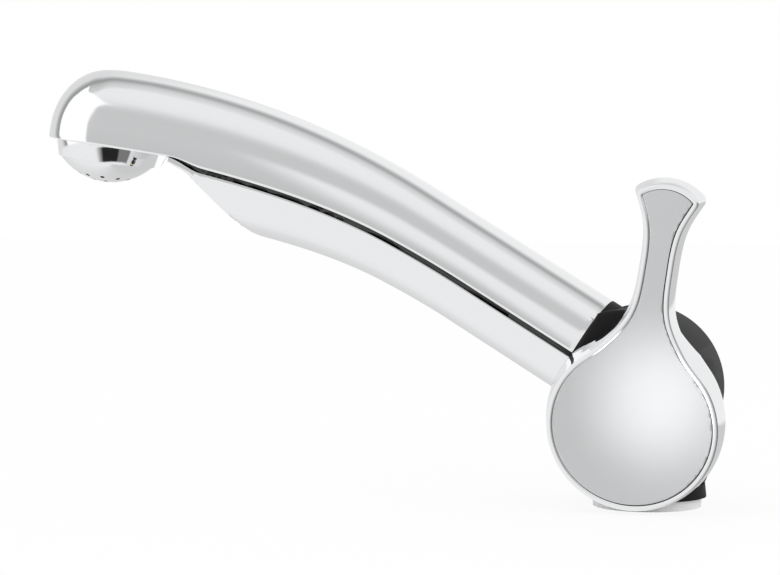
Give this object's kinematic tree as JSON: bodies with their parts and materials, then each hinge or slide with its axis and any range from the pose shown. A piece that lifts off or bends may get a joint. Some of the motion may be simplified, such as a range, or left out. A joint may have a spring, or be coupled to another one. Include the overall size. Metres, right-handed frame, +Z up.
{
  "type": "folding cold water tap",
  "caption": "Chrome cold water tap with a black turret, a spout that swivels and folds down, and a spoon shaped quarter turn lever.",
  "frame": {"origin": "on the shank's axis, at the worktop that the gasket sits on", "axes": "+Z up along the shank, -X towards the spout's outlet, -Y towards the lever"},
  "size_m": [0.2051, 0.0569, 0.2036],
  "materials": {
    "chrome": "polished",
    "satin_plate": "satin",
    "black_plastic": "satin",
    "pale_gasket": "matte",
    "black_rubber": "matte",
    "white_plastic": "satin",
    "bare_brass": "machined",
    "steel": "plain",
    "disc_ceramic": "lapped"
  },
  "bodies": {
    "base": {"base_shank": "black_plastic", "deck_gasket": "pale_gasket", "hose_tail": "white_plastic", "hose_tail_seal": "black_rubber"},
    "clamp_nut": {"under_washer": "steel", "fixing_nut": "bare_brass"},
    "turret": {"turret_body": "black_plastic", "swivel_o_rings": "black_rubber", "swivel_clip": "steel", "pivot_sleeve": "bare_brass", "sleeve_nut": "bare_brass", "rear_cap": "black_plastic", "knuckle_washers": "white_plastic", "cartridge_body": "bare_brass", "cartridge_nut": "bare_brass", "fixed_disc": "disc_ceramic", "cartridge_seal": "black_rubber", "spindle_o_ring": "black_rubber"},
    "spout": {"spout_knuckle": "black_plastic", "knuckle_o_rings": "black_rubber", "upper_shell": "chrome", "lower_cover": "chrome", "seam_gasket": "black_rubber", "spout_screws": "steel", "water_tube": "white_plastic", "tube_o_rings": "black_rubber", "outlet_body": "black_plastic", "head_screws": "steel", "outlet_seal": "black_rubber", "flow_screen": "steel", "outlet_ring": "chrome", "spray_face": "chrome"},
    "lever": {"handle_body": "chrome", "handle_inlay": "satin_plate", "handle_screw": "steel", "cartridge_spindle": "bare_brass", "moving_disc": "disc_ceramic"}
  },
  "joints": [
    {"name": "turret_swivel", "type": "hinge", "parent": "base", "child": "turret", "pos_m": [0, 0, 0], "axis": [0, 0, 1], "range_deg": [-170, 170]},
    {"name": "spout_fold", "type": "hinge", "parent": "turret", "child": "spout", "pos_m": [0, 0, 0.0252], "axis": [0, -1, 0], "range_deg": [0, 28]},
    {"name": "lever_turn", "type": "hinge", "parent": "turret", "child": "lever", "pos_m": [0, 0, 0.0252], "axis": [0, -1, 0], "range_deg": [0, 90]},
    {"name": "nut_travel", "type": "slide", "parent": "base", "child": "clamp_nut", "axis": [0, 0, -1], "range_m": [-0.015, 0.05]}
  ]
}
